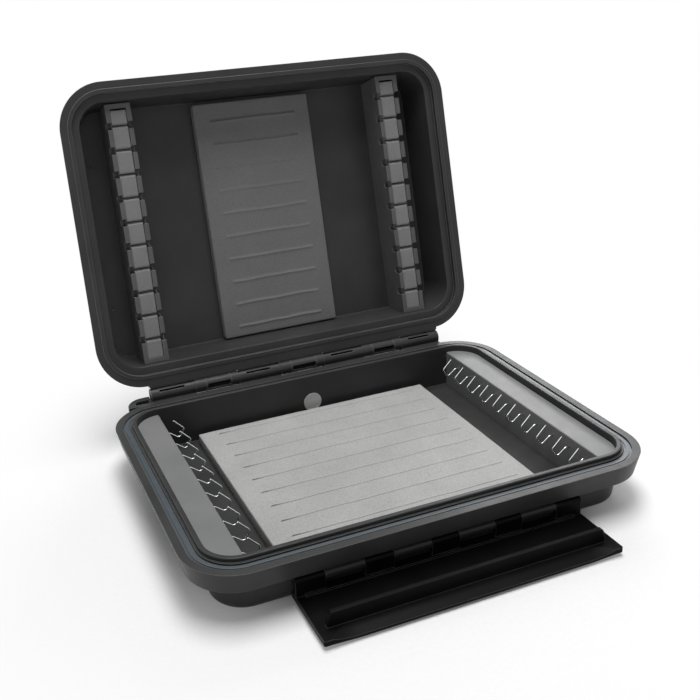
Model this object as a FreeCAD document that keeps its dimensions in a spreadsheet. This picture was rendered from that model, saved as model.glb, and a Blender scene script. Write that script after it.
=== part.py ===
import FreeCAD, Part
import math
import os
import re
import Sketcher

# Fly box: a waterproof case with a hinged lid, a front latch flap, rows of sprung wire hooks in the base
# and notched leader rails in the lid. Millimetres, +Z up, +X right, the latch faces -Y and the hinge +Y.
# The origin is the centre of the flat underside of the base. The lid is built closed and then turned
# back about the hinge axis, because the rest position is open.

# Driving dimensions. The overrun is how far a cutter's outline passes the surface that it cuts, and the
# overlap is how far a web sinks into the wall that carries it.
SIZES = {
    # outline and base section
    "case_width": 300,
    "case_depth": 218,
    "case_corner": 33,
    "overrun": 1,
    "overlap": 0.5,
    "fit_gap": 0.1,
    "tolerance": 0.01,
    "rim_height": 33,
    "skirt_height": 13.5,
    "skirt_inset": 3,
    "skirt_inner_inset": 5.2,
    "skirt_edge_radius": 1.4,
    "tray_inset": 10.5,
    "side_step": 3.8,
    "tray_draft": 2,
    "tray_edge_radius": 5,
    "under_flange_depth": 6.5,
    "floor_thickness": 3.7,
    "wall_inset": 14.6,
    "lip_inset": 11.4,
    "lip_rise": 2.5,
    "lip_edge_radius": 0.7,
    "groove_inset": 5.15,
    "groove_width": 5,
    "groove_depth": 3,
    "seal_clearance": 0.15,
    "seal_height": 2,
    "bead_inset": 1.2,
    "bead_rise": 0.5,
    # lid section, measured with the lid closed
    "lid_gap": 0.2,
    "lid_height": 37.6,
    "lid_top_thickness": 2.5,
    "lid_body_inset": 11,
    "lid_body_draft": 3.5,
    "lid_edge_radius": 5,
    "lid_wall_inset": 14,
    "lid_wall_draft": 3.9,
    "tongue_inset": 5.3,
    "tongue_width": 2.7,
    "tongue_rise": 0.5,
    "lid_recess_depth": 3,
    "lid_recess_edge_radius": 0.8,
    "catch_height": 9.2,
    "catch_end_gap": 0.5,
    "catch_edge_radius": 2,
    "lid_open_angle": 104,
    "mark_radius": 1.3,
    "mark_depth": 0.4,
    "mark_side_gap": 23,
    "mark_row_share": 0.243,
    # hinge
    "hinge_offset": 7.6,
    "hinge_rise": 2.75,
    "knuckle_radius": 5,
    "knuckle_row_end": 32,
    "centre_knuckle_length": 35.6,
    "knuckle_row_centre": 1.8,
    "knuckle_gap": 0.3,
    "knuckle_gusset_angle": 42,
    "knuckle_root": 2.5,
    "hinge_pin_radius": 1.5,
    "pin_clearance": 0.05,
    "pin_end_recess": 1.2,
    "base_slot_width": 1.6,
    "base_slot_start_share": 0.19,
    "base_slot_end_share": 0.75,
    "base_slot_angle": 40,
    "lid_window_width": 3.6,
    "lid_window_start_share": 0.27,
    "lid_window_end_share": 0.8,
    "lid_window_angle": 10,
    "ring_rise": 0.3,
    "ring_width": 0.9,
    "hinge_shelf_reach": 2.1,
    "hinge_shelf_drop": 0.4,
    "hinge_shelf_height": 5,
    "hinge_strip_reach": 1.5,
    "hinge_strip_height": 6,
    # hook housings and hooks
    "housing_depth": 33.6,
    "housing_drop": 2.2,
    "housing_wall": 2,
    "housing_gap": 0.3,
    "housing_plate": 2.5,
    "housing_room_end_gap": 28,
    "housing_edge_radius": 0.8,
    "hook_row_end": 31.78,
    "hook_row_centre": -0.8,
    "hook_drop": 8.9,
    "wire_radius": 0.5,
    "wire_hole_radius": 0.8,
    "shank_inside": 13.2,
    "shank_outside": 1.74,
    "shank_turn": 38.1,
    "shank_turn_radius": 3,
    "fall_run": 5.04,
    "low_turn": 102.5,
    "low_turn_radius": 2.2,
    "rise_run": 3.93,
    "outer_turn": 69.7,
    "outer_turn_radius": 1.6,
    "tip_run": 8.77,
    "collar_radius": 1.5,
    "collar_length": 1.2,
    "spring_radius": 1.45,
    "spring_bore_radius": 0.75,
    # base foam
    "base_foam_side_gap": 59.9,
    "base_foam_end_gap": 5.2,
    "base_foam_height": 7.7,
    "base_foam_corner": 6,
    "slit_width": 0.5,
    "slit_depth": 4.5,
    "slit_row_end": 30.25,
    "base_slit_end_gap": 11.6,
    "base_slit_side": 1.5,
    "base_slit_row_centre": 3.6,
    # vent disc
    "vent_place": 1.3,
    "vent_height": 14,
    "vent_radius": 7,
    "vent_thickness": 2,
    "vent_sink": 1.4,
    "vent_rim_width": 1.2,
    "vent_dish": 0.4,
    # lid foam
    "lid_foam_side_gap": 103.5,
    "lid_foam_front_gap": 2.6,
    "lid_foam_back_gap": 0.3,
    "lid_foam_height": 7,
    "lid_foam_corner": 3,
    "lid_slit_end_gap": 11.5,
    "lid_slit_side": 0,
    "lid_slit_row_centre": 3.95,
    # rails
    "rail_side_gap": 52.9,
    "rail_width": 18.3,
    "rail_front_gap": 15.5,
    "rail_back_gap": 14.8,
    "rail_end_gap": 0.2,
    "rail_drop": 8.1,
    "rail_wall": 3.3,
    "rail_floor": 3,
    "notch_width": 5.2,
    "notch_depth": 7.4,
    "insert_front_gap": 1.3,
    "insert_slit_width": 0.7,
    "insert_slit_depth": 7,
    # latch
    "latch_axis_inset": 8,
    "latch_axis_height": 13.9,
    "latch_arm": 8.5,
    "latch_knuckle_radius": 3,
    "latch_pin_radius": 1.2,
    "latch_gap": 0.3,
    "flap_end_gap": 56.5,
    "flap_thickness": 3.1,
    "flap_reach": 41.8,
    "flap_tail": 3,
    "flap_corner": 1.2,
    "ridge_width": 4.5,
    "ridge_rise": 1.2,
    "rib_start": 29.2,
    "rib_thickness": 3.4,
    "rib_rise": 8.9,
    "rib_end_gap": 5.5,
    "rib_end_slope": 1.5,
    "rib_end_radius": 2.5,
    "rib_edge_radius": 0.65,
    "lip_start": 37,
    "lip_depth": 3.9,
    "scoop_drop": 2.2,
    "scoop_end_gap": 4.5,
    "scoop_end_radius": 59,
    "base_lug_length": 24,
    # strap loop
    "loop_side_gap": 16,
    "loop_hinge_gap": 0.2,
    "loop_reach": 13.2,
    "loop_top_drop": 0.3,
    "loop_height": 9,
    "loop_corner": 12.6,
    "loop_outer_wall": 5.8,
    "loop_inner_wall": 1.4,
    "loop_slot_start": 2.6,
    "loop_slot_width": 5.6,
    "loop_slot_corner": 4,
}

HOOKS_PER_SIDE = 10
FOAM_SLITS = 10
BASE_LUGS = 4
ZERO_LIMIT = 1e-9
UNCUT_SHARE = 0.999999
HOOK_SIDES = {"left": -1, "right": 1}

doc = FreeCAD.newDocument("FlyBox")
sheet = doc.addObject("Spreadsheet::Sheet", "Sizes")
for row, (alias, number) in enumerate(SIZES.items(), start=1):
    sheet.set(f"A{row}", alias)
    sheet.set(f"B{row}", str(number))
    sheet.setAlias(f"B{row}", alias)
doc.recompute()


# Expressions
def linked(text):
    """Expression with each sheet alias, written as a bare word, pointed at the sheet."""
    return re.sub("[a-z_]+", lambda found: f"Sizes.{found[0]}" if found[0] in SIZES else found[0], text)


def value(text):
    """Number that an expression gives now."""
    return float(sheet.evalExpression(linked(text)))


def minus(text):
    """Expression with its sign turned."""
    return f"( -1 * ( {text} ) )"


# Sketches
def new_body(name):
    """Body whose label is its node name."""
    made = doc.addObject("PartDesign::Body", name)
    made.Label = name
    return made


def new_sketch(body, name, role, offset="0"):
    """Sketch on one of the body's origin planes, moved along its normal."""
    plane = next(item for item in body.Origin.OriginFeatures if item.Role == role)
    sketch = body.newObject("Sketcher::SketchObject", name)
    sketch.AttachmentSupport = (plane, [""])
    sketch.MapMode = "FlatFace"
    sketch.setExpression("AttachmentOffset.Base.z", linked(offset))
    return sketch


def bind(sketch, constraint, text):
    """Add a dimension and bind it to its expression."""
    index = sketch.addConstraint(constraint)
    sketch.setExpression(f"Constraints[{index}]", linked(text))


def pin_point(sketch, edge, end, across, up):
    """Hold one end of an edge at a place given by two expressions."""
    for kind, text, axis in (("DistanceX", across, -2), ("DistanceY", up, -1)):
        number = value(text)
        if abs(number) < ZERO_LIMIT:
            sketch.addConstraint(Sketcher.Constraint("PointOnObject", edge, end, axis))
        else:
            bind(sketch, Sketcher.Constraint(kind, -1, 1, edge, end, number), text)


def polygon(sketch, corners):
    """Closed outline of straight edges through corners given as expressions."""
    places = [FreeCAD.Vector(value(across), value(up), 0) for across, up in corners]
    first = sketch.GeometryCount
    count = len(places)
    for index in range(count):
        sketch.addGeometry(Part.LineSegment(places[index], places[(index + 1) % count]))
    for index in range(count):
        after = first + (index + 1) % count
        sketch.addConstraint(Sketcher.Constraint("Coincident", first + index, 2, after, 1))
        pin_point(sketch, first + index, 1, *corners[index])


def box_outline(sketch, left, right, low, high):
    """Rectangle between two pairs of expressions."""
    polygon(sketch, [(left, low), (right, low), (right, high), (left, high)])


def circle(sketch, across, up, radius):
    """Circle with its centre and radius given as expressions."""
    centre = FreeCAD.Vector(value(across), value(up), 0)
    edge = sketch.addGeometry(Part.Circle(centre, FreeCAD.Vector(0, 0, 1), value(radius)))
    pin_point(sketch, edge, 3, across, up)
    bind(sketch, Sketcher.Constraint("Radius", edge, value(radius)), radius)


def rounded_outline(sketch, half_width, half_depth, radius):
    """Rounded rectangle centred on the sketch origin."""
    width, depth, bend = value(half_width), value(half_depth), value(radius)
    first = sketch.GeometryCount
    straight_x, straight_y = width - bend, depth - bend
    sides = [((straight_x, -depth), (-straight_x, -depth)), ((-width, -straight_y), (-width, straight_y)),
             ((-straight_x, depth), (straight_x, depth)), ((width, straight_y), (width, -straight_y))]
    for start, end in sides:
        sketch.addGeometry(Part.LineSegment(FreeCAD.Vector(*start, 0), FreeCAD.Vector(*end, 0)))
    quarter = math.pi / 2
    centres = [(-straight_x, -straight_y, 2), (-straight_x, straight_y, 1), (straight_x, straight_y, 0),
               (straight_x, -straight_y, 3)]
    for across, up, turn in centres:
        round_edge = Part.Circle(FreeCAD.Vector(across, up, 0), FreeCAD.Vector(0, 0, 1), bend)
        sketch.addGeometry(Part.ArcOfCircle(round_edge, turn * quarter, (turn + 1) * quarter))
    arcs = first + 4
    for index in range(4):
        after = first + (index + 1) % 4
        sketch.addConstraint(Sketcher.Constraint("Tangent", first + index, 2, arcs + index, 2))
        sketch.addConstraint(Sketcher.Constraint("Tangent", arcs + index, 1, after, 1))
    sketch.addConstraint(Sketcher.Constraint("Horizontal", first))
    sketch.addConstraint(Sketcher.Constraint("Vertical", first + 1))
    for index in range(3):
        sketch.addConstraint(Sketcher.Constraint("Equal", arcs + index, arcs + index + 1))
    bind(sketch, Sketcher.Constraint("Radius", arcs, bend), radius)
    bind(sketch, Sketcher.Constraint("DistanceX", -1, 1, first + 3, 1, width), half_width)
    bind(sketch, Sketcher.Constraint("DistanceX", first + 1, 1, -1, 1, width), half_width)
    bind(sketch, Sketcher.Constraint("DistanceY", -1, 1, first + 2, 1, depth), half_depth)
    bind(sketch, Sketcher.Constraint("DistanceY", first, 1, -1, 1, depth), half_depth)


def case_outline(sketch, inset):
    """Outline of the case, drawn in from its edge by an expression."""
    rounded_outline(sketch, f"case_width / 2 - ( {inset} )", f"case_depth / 2 - ( {inset} )",
                    f"case_corner - ( {inset} )")


def tray_outline(sketch, inset):
    """Outline of the tray under the rim, which is stepped in further at its short sides."""
    rounded_outline(sketch, f"case_width / 2 - side_step - ( {inset} )", f"case_depth / 2 - ( {inset} )",
                    f"case_corner - ( {inset} )")


# Features
def pad(body, sketch, name, length, reverse=False, both_ways=False, taper=None):
    """Pad whose length and draft angle follow expressions."""
    made = body.newObject("PartDesign::Pad", name)
    made.Profile = sketch
    made.setExpression("Length", linked(length))
    made.Reversed = reverse
    if both_ways:
        made.SideType = "Symmetric"
    if taper:
        made.setExpression("TaperAngle", linked(taper))
    doc.recompute()
    return made


def pocket(body, sketch, name, length, reverse=False, both_ways=False, taper=None):
    """Pocket whose depth follows an expression; it must take material away."""
    before = body.Tip.Shape.Volume
    made = body.newObject("PartDesign::Pocket", name)
    made.Profile = sketch
    made.setExpression("Length", linked(length))
    made.Reversed = reverse
    if both_ways:
        made.SideType = "Symmetric"
    if taper:
        made.setExpression("TaperAngle", linked(taper))
    doc.recompute()
    if made.Shape.Volume > before * UNCUT_SHARE:
        raise ValueError(f"{name} cuts nothing")
    return made


def fillet(body, name, radius, wanted):
    """Round every edge of the body's tip that a test picks."""
    tip = body.Tip
    picked = [f"Edge{index}" for index, edge in enumerate(tip.Shape.Edges, start=1) if wanted(edge)]
    if not picked:
        raise ValueError(f"{name} finds no edge")
    made = body.newObject("PartDesign::Fillet", name)
    made.Base = (tip, picked)
    made.setExpression("Radius", linked(radius))
    doc.recompute()
    return made


def level_edges(height, inset, spread="overrun"):
    """Test for edges that lie level at a height and near an inset from the case outline."""
    def wanted(edge):
        box = edge.BoundBox
        if max(abs(box.ZMin - value(height)), abs(box.ZMax - value(height))) > value("tolerance"):
            return False
        middle = edge.valueAt((edge.FirstParameter + edge.LastParameter) / 2)
        return abs(case_inset(middle) - value(inset)) < value(spread)
    return wanted


def case_inset(point):
    """Distance of a point inside the case outline, seen from above."""
    corner = value("case_corner")
    across = abs(point.x) - (value("case_width") / 2 - corner)
    along = abs(point.y) - (value("case_depth") / 2 - corner)
    if across > 0 and along > 0:
        return corner - math.hypot(across, along)
    return min(corner - across, corner - along)


def draft(inset, height):
    """Expression for the angle of a wall that leans by an inset over a height."""
    return f"atan( ( {inset} ) / ( {height} ) )"


# Places shared by several pieces
HINGE_Y = "( case_depth / 2 + hinge_offset )"
HINGE_Z = "( rim_height + hinge_rise )"
LATCH_Y = "( 0 - case_depth / 2 + latch_axis_inset )"
LATCH_Z = "latch_axis_height"
LID_RIM_Z = "( rim_height + lid_gap )"
LID_TOP_Z = "( rim_height + lid_gap + lid_height )"
CEILING_Z = "( rim_height + lid_gap + lid_height - lid_top_thickness )"
LEDGE_Z = "( rim_height - housing_drop )"
SHELF_Z = "( rim_height - housing_drop - housing_plate )"
HOUSING_FACE = "( case_width / 2 - housing_depth )"
HOOK_Z = "( rim_height - hook_drop )"
FLAP_TOP_Z = "( latch_axis_height - latch_arm )"
KNUCKLE_PITCH = "( ( case_width - 2 * knuckle_row_end - centre_knuckle_length ) / 6 )"
KNUCKLE_ROW_START = f"( knuckle_row_centre - centre_knuckle_length / 2 - 3 * {KNUCKLE_PITCH} )"
KNUCKLE_ROW_LENGTH = "( case_width - 2 * knuckle_row_end )"
RAIL_TOP_Z = "( rim_height + rail_drop )"
RAIL_INNER = "( case_width / 2 - rail_side_gap )"
RAIL_OUTER = f"( {RAIL_INNER} + rail_width )"
RAIL_FRONT = "( rail_front_gap - case_depth / 2 )"
RAIL_BACK = "( case_depth / 2 - rail_back_gap )"
FLAP_EDGE_Y = "( 0 - case_depth / 2 + latch_axis_inset - flap_reach )"
FLAP_HALF = "( case_width / 2 - flap_end_gap )"
RIB_HALF = f"( {FLAP_HALF} - rib_end_gap )"
SCOOP_HALF = f"( {FLAP_HALF} - scoop_end_gap )"
SCOOP_END = "( sqrt( scoop_drop * ( 2 * scoop_end_radius - scoop_drop ) ) )"
FLAP_KNUCKLE_LENGTH = f"( ( 2 * {FLAP_HALF} - {BASE_LUGS} * base_lug_length ) / {BASE_LUGS + 1} )"


def knuckle_start(index):
    """Expression for where a hinge knuckle begins along X; the middle one is longer."""
    if index <= 3:
        return f"( {KNUCKLE_ROW_START} + {index} * {KNUCKLE_PITCH} )"
    return f"( {KNUCKLE_ROW_START} + {index - 1} * {KNUCKLE_PITCH} + centre_knuckle_length )"


def knuckle_length(index):
    """Expression for a hinge knuckle's share of the row."""
    return "centre_knuckle_length" if index == 3 else KNUCKLE_PITCH


def hook_place(index):
    """Expression for where a hook, and the rail notch over it, lies along Y."""
    pitch = f"( case_depth - 2 * hook_row_end ) / {HOOKS_PER_SIDE - 1}"
    return f"( hook_row_centre + ( {index} - {(HOOKS_PER_SIDE - 1) / 2} ) * {pitch} )"


# Hinge knuckles
def add_hinge_land(body, name, reach, foot, height):
    """Low land along the rear wall, under or over the row of knuckles, that closes the gap beside them."""
    sketch = new_sketch(body, f"{name}_sketch", "YZ_Plane", KNUCKLE_ROW_START)
    box_outline(sketch, "case_depth / 2 - knuckle_root", f"case_depth / 2 + {reach}", foot,
                f"{foot} + {height}")
    pad(body, sketch, name, KNUCKLE_ROW_LENGTH)


def add_knuckle(body, index, upper):
    """Round hinge knuckle with its gusset; upper ones belong to the lid and are mirrored in height."""
    name = f"knuckle_{index + 1}"
    start = f"{knuckle_start(index)} + knuckle_gap / 2"
    length = f"{knuckle_length(index)} - knuckle_gap"
    way = "1" if upper else "-1"
    root_z = f"( {LID_RIM_Z} + knuckle_gap )" if upper else "rim_height"
    touch_y = f"{HINGE_Y} + knuckle_radius * sin( knuckle_gusset_angle )"
    touch_z = f"{HINGE_Z} + {way} * knuckle_radius * cos( knuckle_gusset_angle )"
    root_y = "( case_depth / 2 - knuckle_root )"
    fall = f"( {touch_y} - {root_y} ) * tan( knuckle_gusset_angle )"
    foot_z = f"{touch_z} + {way} * ( {fall} )"
    barrel = new_sketch(body, f"{name}_barrel_sketch", "YZ_Plane", start)
    circle(barrel, HINGE_Y, HINGE_Z, "knuckle_radius")
    pad(body, barrel, f"{name}_barrel", length)
    web = new_sketch(body, f"{name}_web_sketch", "YZ_Plane", start)
    polygon(web, [(root_y, root_z), (HINGE_Y, root_z), (HINGE_Y, HINGE_Z), (touch_y, touch_z),
                  (root_y, foot_z)])
    pad(body, web, f"{name}_web", length)


def add_ring(body, name, place):
    """Fine raised ring round a lid knuckle."""
    sketch = new_sketch(body, f"{name}_sketch", "YZ_Plane", place)
    circle(sketch, HINGE_Y, HINGE_Z, "knuckle_radius + ring_rise")
    pad(body, sketch, name, "ring_width")


def bore(body, name, across, up, radius, start, length):
    """Round hole along X."""
    sketch = new_sketch(body, f"{name}_sketch", "YZ_Plane", start)
    circle(sketch, across, up, radius)
    pocket(body, sketch, name, length, reverse=True)


def knuckle_window(body, index, start_share, end_share, width, angle, name):
    """Cut through a knuckle's wall to the pin, turned about the hinge axis by an angle from straight up."""
    start = f"{knuckle_start(index)} + {knuckle_length(index)} * {start_share}"
    length = f"{knuckle_length(index)} * ( {end_share} - {start_share} )"
    sketch = new_sketch(body, f"{name}_sketch", "YZ_Plane", start)
    reach = "( knuckle_radius + 2 * ring_rise )"
    half = f"( {width} / 2 )"
    places = []
    for across, out in ((minus(half), "0"), (half, "0"), (half, reach), (minus(half), reach)):
        places.append((f"{HINGE_Y} + {across} * cos( {angle} ) - {out} * sin( {angle} )",
                       f"{HINGE_Z} + {across} * sin( {angle} ) + {out} * cos( {angle} )"))
    polygon(sketch, places)
    pocket(body, sketch, name, length, reverse=True)


# Base shell
def make_base_shell():
    body = new_body("base_shell")
    rim = new_sketch(body, "base_rim_sketch", "XY_Plane", "rim_height")
    case_outline(rim, "0")
    pad(body, rim, "base_skirt", "skirt_height", reverse=True,
        taper=minus(draft("skirt_inset", "skirt_height")))
    fillet(body, "base_skirt_edge", "skirt_edge_radius",
           level_edges("rim_height - skirt_height", "skirt_inset"))

    tray = new_sketch(body, "base_tray_sketch", "XY_Plane", "rim_height - skirt_height")
    tray_outline(tray, "tray_inset")
    pad(body, tray, "base_tray", "rim_height - skirt_height", reverse=True,
        taper=minus(draft("tray_draft", "rim_height - skirt_height")))
    fillet(body, "base_tray_edge", "tray_edge_radius",
           level_edges("0", "tray_inset + tray_draft", "side_step + overrun"))

    lip = new_sketch(body, "base_lip_sketch", "XY_Plane", "rim_height")
    case_outline(lip, "lip_inset")
    pad(body, lip, "base_lip", "lip_rise")

    room = new_sketch(body, "base_room_sketch", "XY_Plane", "rim_height + lip_rise")
    case_outline(room, "wall_inset")
    pocket(body, room, "base_room", f"rim_height + lip_rise - {SHELF_Z}")
    fillet(body, "base_lip_edges", "lip_edge_radius",
           level_edges("rim_height + lip_rise", "( lip_inset + wall_inset ) / 2", "wall_inset - lip_inset"))

    lower = new_sketch(body, "base_lower_room_sketch", "XY_Plane", SHELF_Z)
    tray_outline(lower, "wall_inset")
    pocket(body, lower, "base_lower_room", f"{SHELF_Z} - floor_thickness")

    groove = new_sketch(body, "seal_groove_sketch", "XY_Plane", "rim_height")
    case_outline(groove, "groove_inset")
    case_outline(groove, "groove_inset + groove_width")
    pocket(body, groove, "seal_groove", "groove_depth")

    hollow = new_sketch(body, "under_flange_sketch", "XY_Plane", "rim_height - skirt_height")
    case_outline(hollow, "skirt_inner_inset")
    tray_outline(hollow, "tray_inset")
    pocket(body, hollow, "under_flange", "under_flange_depth", reverse=True)

    add_hinge_land(body, "hinge_shelf", "hinge_shelf_reach", "rim_height - hinge_shelf_drop - hinge_shelf_height",
                   "hinge_shelf_height")
    for index in (0, 2, 4, 6):
        add_knuckle(body, index, upper=False)
    bore(body, "base_hinge_bore", HINGE_Y, HINGE_Z, "hinge_pin_radius + pin_clearance",
         f"{KNUCKLE_ROW_START} - overrun", f"{KNUCKLE_ROW_LENGTH} + 2 * overrun")
    for index in (0, 2, 4, 6):
        knuckle_window(body, index, "base_slot_start_share", "base_slot_end_share", "base_slot_width",
                       "base_slot_angle", f"base_slot_{index + 1}")

    for index in range(BASE_LUGS):
        add_base_lug(body, index)
    bore(body, "base_latch_bore", LATCH_Y, LATCH_Z, "latch_pin_radius + pin_clearance",
         minus(FLAP_HALF), f"2 * {FLAP_HALF}")

    seat = new_sketch(body, "vent_seat_sketch", "XZ_Plane", minus("case_depth / 2 - wall_inset"))
    circle(seat, "vent_place", "vent_height", "vent_radius + seal_clearance")
    pocket(body, seat, "vent_seat", "vent_sink")
    return body


def lug_start(index):
    """Expression for where a base latch lug begins along X."""
    return f"( {index + 1} * {FLAP_KNUCKLE_LENGTH} + {index} * base_lug_length - {FLAP_HALF} )"


def add_base_lug(body, index):
    """Latch lug that hangs in the hollow under the flange and joins the tray wall."""
    name = f"latch_lug_{index + 1}"
    start = f"{lug_start(index)} + latch_gap / 2"
    length = "base_lug_length - latch_gap"
    barrel = new_sketch(body, f"{name}_barrel_sketch", "YZ_Plane", start)
    circle(barrel, LATCH_Y, LATCH_Z, "latch_knuckle_radius")
    pad(body, barrel, f"{name}_barrel", length)
    web = new_sketch(body, f"{name}_web_sketch", "YZ_Plane", start)
    roof = "rim_height - skirt_height + under_flange_depth + overlap"
    box_outline(web, LATCH_Y, "wall_inset - overrun - case_depth / 2", LATCH_Z, roof)
    pad(body, web, f"{name}_web", length)


# Seal
def make_rim_seal():
    body = new_body("rim_seal")
    foot = "rim_height - groove_depth"
    band = new_sketch(body, "seal_band_sketch", "XY_Plane", foot)
    case_outline(band, "groove_inset + seal_clearance")
    case_outline(band, "groove_inset + groove_width - seal_clearance")
    pad(body, band, "seal_band", "seal_height")
    bead = new_sketch(body, "seal_bead_sketch", "XY_Plane", foot)
    case_outline(bead, "groove_inset + seal_clearance + bead_inset")
    case_outline(bead, "groove_inset + groove_width - seal_clearance - bead_inset")
    pad(body, bead, "seal_bead", "seal_height + bead_rise")
    return body


# Housings along the short sides
def make_housing(name, side):
    body = new_body(f"{name}_hook_housing")
    outline = new_sketch(body, f"{name}_housing_sketch", "XY_Plane", "floor_thickness")
    tray_outline(outline, "wall_inset + housing_gap")
    pad(body, outline, f"{name}_housing_block", f"{LEDGE_Z} - floor_thickness")
    ledge = new_sketch(body, f"{name}_housing_ledge_sketch", "XY_Plane", SHELF_Z)
    case_outline(ledge, "wall_inset + housing_gap")
    pad(body, ledge, f"{name}_housing_ledge", "housing_plate")
    inside = new_sketch(body, f"{name}_housing_cut_sketch", "XY_Plane", "floor_thickness")
    far, near = "( case_width / 2 )", HOUSING_FACE
    ends = (minus(far), near) if side > 0 else (minus(near), far)
    box_outline(inside, *ends, minus("case_depth / 2"), "case_depth / 2")
    pocket(body, inside, f"{name}_housing_cut", "rim_height", reverse=True)
    ledge_z, face, close = value(LEDGE_Z), value(near), value("tolerance")
    fillet(body, f"{name}_housing_edge", "housing_edge_radius",
           lambda edge: edge.BoundBox.ZMin > ledge_z - close
           and abs(abs(edge.BoundBox.XMin) - face) < close and abs(abs(edge.BoundBox.XMax) - face) < close)

    room = new_sketch(body, f"{name}_housing_room_sketch", "XY_Plane", "floor_thickness")
    front, back = f"{HOUSING_FACE} + housing_wall", f"{HOUSING_FACE} + shank_inside + fit_gap"
    ends = (front, back) if side > 0 else (minus(back), minus(front))
    half = "case_depth / 2 - housing_room_end_gap"
    box_outline(room, *ends, minus(half), half)
    pocket(body, room, f"{name}_housing_room", f"{LEDGE_Z} - floor_thickness - housing_wall", reverse=True)

    holes = new_sketch(body, f"{name}_wire_hole_sketch", "YZ_Plane",
                       f"{near} - overrun" if side > 0 else minus(f"{front} + overrun"))
    for index in range(HOOKS_PER_SIDE):
        circle(holes, hook_place(index), HOOK_Z, "wire_hole_radius")
    pocket(body, holes, f"{name}_wire_holes", "housing_wall + 2 * overrun", reverse=True)
    return body


# Wire hooks and their springs
def wire_path(sketch, side):
    """Path of one bent wire: straight runs joined by tangent bends, starting inside the housing."""
    runs = ["shank_inside + shank_outside", "fall_run", "rise_run", "tip_run"]
    bends = [("shank_turn", "shank_turn_radius", -1), ("low_turn", "low_turn_radius", 1),
             ("outer_turn", "outer_turn_radius", 1)]
    # the path is worked out heading from the housing towards the middle, then turned to its side
    place = FreeCAD.Vector(0, 0, 0)
    heading = 0.0
    end_x, end_z = f"{side} * ( {HOUSING_FACE} + shank_inside )", HOOK_Z

    def to_side(point):
        return FreeCAD.Vector(value(end_x) - side * point.x, value(end_z) + point.y, 0)

    edges = []
    for index, run in enumerate(runs):
        ahead = place + FreeCAD.Vector(math.cos(heading), math.sin(heading), 0) * value(run)
        edges.append(sketch.addGeometry(Part.LineSegment(to_side(place), to_side(ahead))))
        place = ahead
        if index < len(bends):
            turn, radius, way = bends[index]
            normal = FreeCAD.Vector(-math.sin(heading), math.cos(heading), 0) * way
            centre = place + normal * value(radius)
            swing = math.radians(value(turn)) * way
            middle = centre - rotated(normal, swing / 2) * value(radius)
            ahead = centre - rotated(normal, swing) * value(radius)
            arc = Part.Arc(to_side(place), to_side(middle), to_side(ahead))
            edges.append(sketch.addGeometry(arc))
            place = ahead
            heading += swing
    pin_point(sketch, edges[0], 1, end_x, end_z)
    sketch.addConstraint(Sketcher.Constraint("Horizontal", edges[0]))
    for index, run in enumerate(runs):
        bind(sketch, Sketcher.Constraint("Distance", edges[2 * index], value(run)), run)
    for index, (turn, radius, way) in enumerate(bends):
        arc = edges[2 * index + 1]
        bind(sketch, Sketcher.Constraint("Radius", arc, value(radius)), radius)
        bind(sketch, Sketcher.Constraint("Angle", arc, math.radians(value(turn))), turn)
        # an arc keeps its own turning sense, so which of its ends comes first depends on the side
        first, last = (2, 1) if way * side > 0 else (1, 2)
        sketch.addConstraint(Sketcher.Constraint("Tangent", edges[2 * index], 2, arc, first))
        sketch.addConstraint(Sketcher.Constraint("Tangent", arc, last, edges[2 * index + 2], 1))
    return [f"Edge{index + 1}" for index in range(len(edges))]


def rotated(vector, angle):
    """Vector in the sketch plane turned by an angle in radians."""
    return FreeCAD.Vector(vector.x * math.cos(angle) - vector.y * math.sin(angle),
                          vector.x * math.sin(angle) + vector.y * math.cos(angle), 0)


def make_hook(name, side, index):
    body = new_body(f"{name}_hook_{index + 1:02d}")
    route = new_sketch(body, f"{body.Name}_path", "XZ_Plane", minus(hook_place(index)))
    edges = wire_path(route, side)
    end = f"{side} * ( {HOUSING_FACE} + shank_inside )"
    wire = new_sketch(body, f"{body.Name}_wire_sketch", "YZ_Plane", end)
    circle(wire, hook_place(index), HOOK_Z, "wire_radius")
    sweep = body.newObject("PartDesign::AdditivePipe", f"{body.Name}_wire")
    sweep.Profile = wire
    sweep.Spine = (route, edges)
    collar = new_sketch(body, f"{body.Name}_collar_sketch", "YZ_Plane", end)
    circle(collar, hook_place(index), HOOK_Z, "collar_radius")
    pad(body, collar, f"{body.Name}_collar", "collar_length", reverse=side > 0)
    return body


def make_spring(name, side, index):
    body = new_body(f"{name}_hook_spring_{index + 1:02d}")
    start = f"{side} * ( {HOUSING_FACE} + housing_wall )"
    sketch = new_sketch(body, f"{body.Name}_sketch", "YZ_Plane", start)
    circle(sketch, hook_place(index), HOOK_Z, "spring_radius")
    circle(sketch, hook_place(index), HOOK_Z, "spring_bore_radius")
    pad(body, sketch, f"{body.Name}_coil", "shank_inside - housing_wall - collar_length", reverse=side < 0)
    return body


# Foam pads
def cut_slits(body, name, half, face, reverse):
    """Row of narrow slits across the base or lid foam pad; they end short of its sides."""
    sketch = new_sketch(body, f"{name}_slit_sketch", "XY_Plane", face)
    side = f"{name}_slit_side"
    pitch = f"( case_depth - 2 * slit_row_end ) / {FOAM_SLITS - 1}"
    for index in range(FOAM_SLITS):
        middle = f"( {name}_slit_row_centre + ( {index} - {(FOAM_SLITS - 1) / 2} ) * {pitch} )"
        box_outline(sketch, f"{side} - {half}", f"{side} + {half}",
                    f"{middle} - slit_width / 2", f"{middle} + slit_width / 2")
    pocket(body, sketch, f"{name}_slits", "slit_depth", reverse=reverse)


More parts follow.
